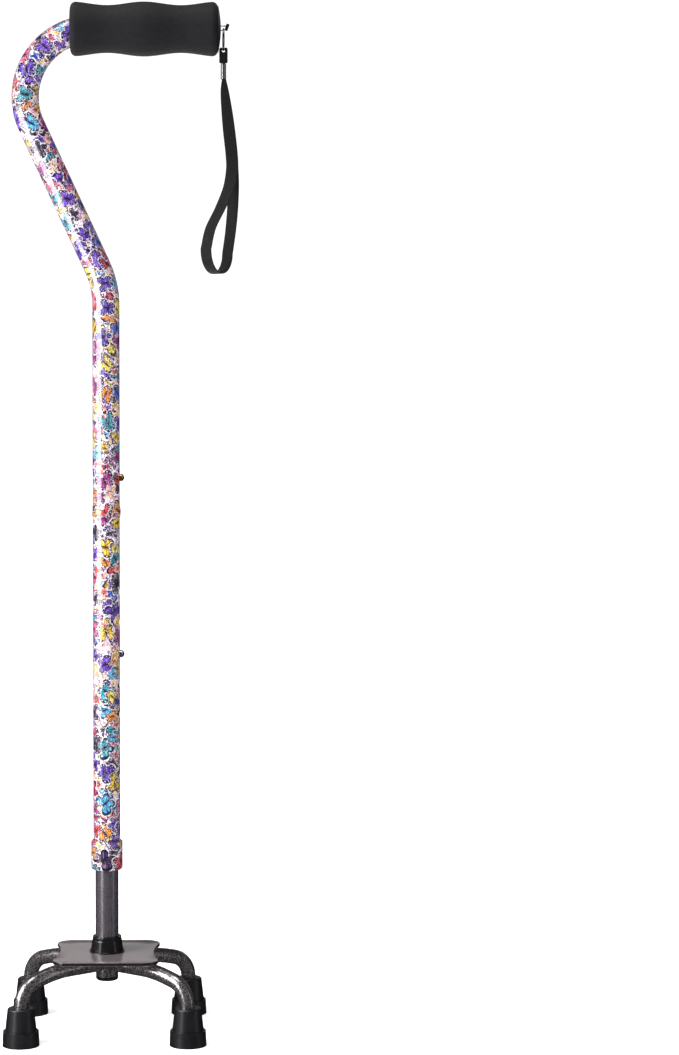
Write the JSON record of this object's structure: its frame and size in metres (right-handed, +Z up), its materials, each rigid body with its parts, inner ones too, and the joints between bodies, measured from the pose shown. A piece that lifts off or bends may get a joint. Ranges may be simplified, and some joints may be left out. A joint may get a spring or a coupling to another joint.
{
  "type": "quad walking cane",
  "caption": "Folding walking cane with an offset handle, foam grip, wrist strap, telescopic height adjustment and a small base with rubber feet.",
  "frame": {"origin": "centre of the bounding box's underside, on the floor between the feet", "axes": "+Z up along the cane, the longest extent; +X the way the grip points; +Y across the base, to the left of a user who faces +X"},
  "size_m": [0.1912, 0.1362, 0.843],
  "materials": {
    "grip_foam": "matte",
    "cap_rubber": "satin",
    "wire": "gloss",
    "ferrule_steel": "satin",
    "webbing": "matte",
    "elastic": "matte",
    "printed_tube": "gloss",
    "printed_collar": "gloss",
    "black_plastic": "satin",
    "white_plastic": "satin",
    "bare_aluminium": "satin",
    "gunmetal_tube": "satin",
    "button_brass": "gloss",
    "button_steel": "gloss",
    "spring_steel": "satin",
    "leg_paint": "gloss",
    "plate_paint": "satin",
    "foot_rubber": "matte"
  },
  "bodies": {
    "base": {"base_hub": "leg_paint", "hub_plug": "black_plastic", "base_plate": "plate_paint", "base_collar": "black_plastic", "shaft_pin": "spring_steel", "lower_shaft": "gunmetal_tube", "shaft_bush": "white_plastic", "lower_snap_leaf": "spring_steel", "leg_front_right": "leg_paint", "leg_front_left": "leg_paint", "leg_rear_left": "leg_paint", "leg_rear_right": "leg_paint", "foot_front_right": "foot_rubber", "foot_front_left": "foot_rubber", "foot_rear_left": "foot_rubber", "foot_rear_right": "foot_rubber", "foot_washers": "spring_steel"},
    "lower_section": {"lower_tube": "printed_tube", "joint_connector": "bare_aluminium", "connector_bush": "white_plastic", "cord_anchor_lower": "black_plastic", "elastic_cord": "elastic", "collar_collet": "white_plastic", "upper_snap_leaf": "spring_steel"},
    "handle_section": {"handle_tube": "printed_tube", "grip": "grip_foam", "grip_end_cap": "cap_rubber", "strap_eye": "wire", "eye_bead": "black_plastic", "cord_anchor_upper": "black_plastic"},
    "upper_snap": {"upper_snap_button": "button_brass"},
    "lower_snap": {"lower_snap_button": "button_steel"},
    "lock_collar": {"lock_collar": "printed_collar"},
    "strap_ring": {"strap_ring": "wire"},
    "wrist_strap": {"strap_link": "black_plastic", "strap_ferrule": "ferrule_steel", "wrist_strap": "webbing"}
  },
  "joints": [
    {"name": "height_adjust", "type": "slide", "parent": "base", "child": "lower_section", "axis": [0, 0, 1], "range_m": [-0.0508, 0.1016]},
    {"name": "section_pull", "type": "slide", "parent": "lower_section", "child": "handle_section", "axis": [0, 0, 1], "range_m": [0, 0.08], "stiffness_N_per_m": 60, "springref_m": -0.05, "deforming": ["elastic_cord", "upper_snap_button"]},
    {"name": "upper_button_press", "type": "slide", "parent": "lower_section", "child": "upper_snap", "axis": [-1, 0, 0], "range_m": [0, 0.0053], "stiffness_N_per_m": 600, "springref_m": -0.002, "deforming": ["upper_snap_leaf"]},
    {"name": "lower_button_press", "type": "slide", "parent": "base", "child": "lower_snap", "axis": [-1, 0, 0], "range_m": [0, 0.0053], "stiffness_N_per_m": 600, "springref_m": -0.002, "deforming": ["lower_snap_leaf"]},
    {"name": "collar_twist", "type": "hinge", "parent": "lower_section", "child": "lock_collar", "pos_m": [-0.0135, 0, 0.145], "axis": [0, 0, 1], "range_deg": [-270, 0]},
    {"name": "ring_swing", "type": "hinge", "parent": "handle_section", "child": "strap_ring", "pos_m": [0.08271, 0, 0.8214], "axis": [0, -1, 0], "range_deg": [0, 60]},
    {"name": "strap_swing", "type": "hinge", "parent": "strap_ring", "child": "wrist_strap", "pos_m": [0.08271, 0, 0.8126], "axis": [1, 0, 0], "range_deg": [-35, 35]}
  ]
}
